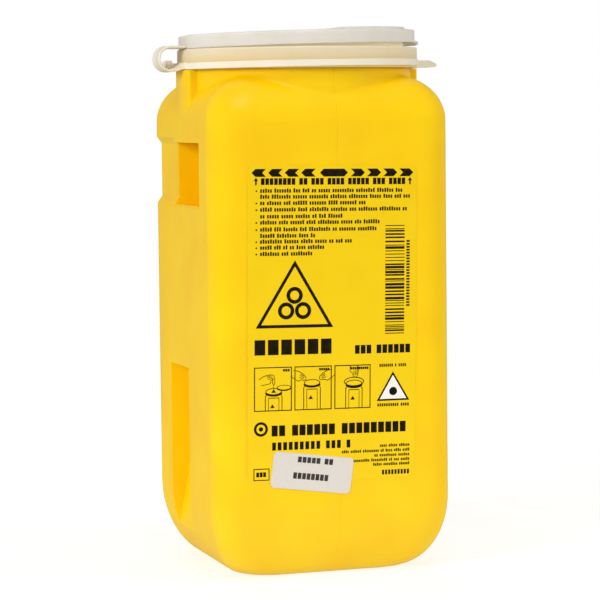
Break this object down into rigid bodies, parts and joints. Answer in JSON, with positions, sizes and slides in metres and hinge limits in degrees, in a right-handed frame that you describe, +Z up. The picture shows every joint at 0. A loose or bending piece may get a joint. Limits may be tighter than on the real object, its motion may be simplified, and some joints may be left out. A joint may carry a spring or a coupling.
{
  "type": "sharps container",
  "caption": "Square blow-moulded sharps jar with a round neck, push-fit collar, strap-hinged cap, flap-guarded drop opening and folding carry loop.",
  "frame": {"origin": "middle of the flat base, on the surface the container stands on", "axes": "+Z up through the neck; -Y is the labelled front; the cap's strap hinge is on the -X side"},
  "size_m": [0.1226, 0.1167, 0.2232],
  "materials": {
    "yellow_hdpe": "satin",
    "natural_pe": "satin",
    "label_film": "satin",
    "sticker_paper": "matte"
  },
  "bodies": {
    "container": {"container_body": "yellow_hdpe", "front_label": "label_film", "batch_sticker": "sticker_paper", "lid_collar": "natural_pe", "collar_bead": "natural_pe", "opening_web": "natural_pe", "finger_tab": "natural_pe", "hinge_lug": "natural_pe", "hinge_strap": "natural_pe", "loop_peg_left": "natural_pe", "loop_peg_right": "natural_pe"},
    "cap": {"lid_cap": "natural_pe", "cap_plug": "natural_pe", "cap_finger_lip": "natural_pe", "cap_thumb_pad": "natural_pe"},
    "loop": {"carry_loop": "natural_pe"},
    "flap_a": {"opening_flap_a": "natural_pe"},
    "flap_b": {"opening_flap_b": "natural_pe"},
    "flap_c": {"opening_flap_c": "natural_pe"}
  },
  "joints": [
    {"name": "cap_hinge", "type": "hinge", "parent": "container", "child": "cap", "pos_m": [-0.056, 0, 0.2108], "axis": [0, -1, 0], "range_deg": [-1.1, 175], "deforming": ["hinge_strap"]},
    {"name": "carry_loop_hinge", "type": "hinge", "parent": "container", "child": "loop", "pos_m": [0, 0.012, 0.208], "axis": [1, 0, 0], "range_deg": [0, 95]},
    {"name": "flap_a_hinge", "type": "hinge", "parent": "container", "child": "flap_a", "pos_m": [0.02667, 0.0154, 0.2051], "axis": [0.5, -0.866, 0], "range_deg": [0, 50], "stiffness_Nm_per_rad": 0.01},
    {"name": "flap_b_hinge", "type": "hinge", "parent": "container", "child": "flap_b", "pos_m": [-0.02667, 0.0154, 0.2051], "axis": [0.5, 0.866, 0], "range_deg": [0, 50], "stiffness_Nm_per_rad": 0.01},
    {"name": "flap_c_hinge", "type": "hinge", "parent": "container", "child": "flap_c", "pos_m": [0, -0.0308, 0.2051], "axis": [-1, 0, 0], "range_deg": [0, 50], "stiffness_Nm_per_rad": 0.01}
  ]
}
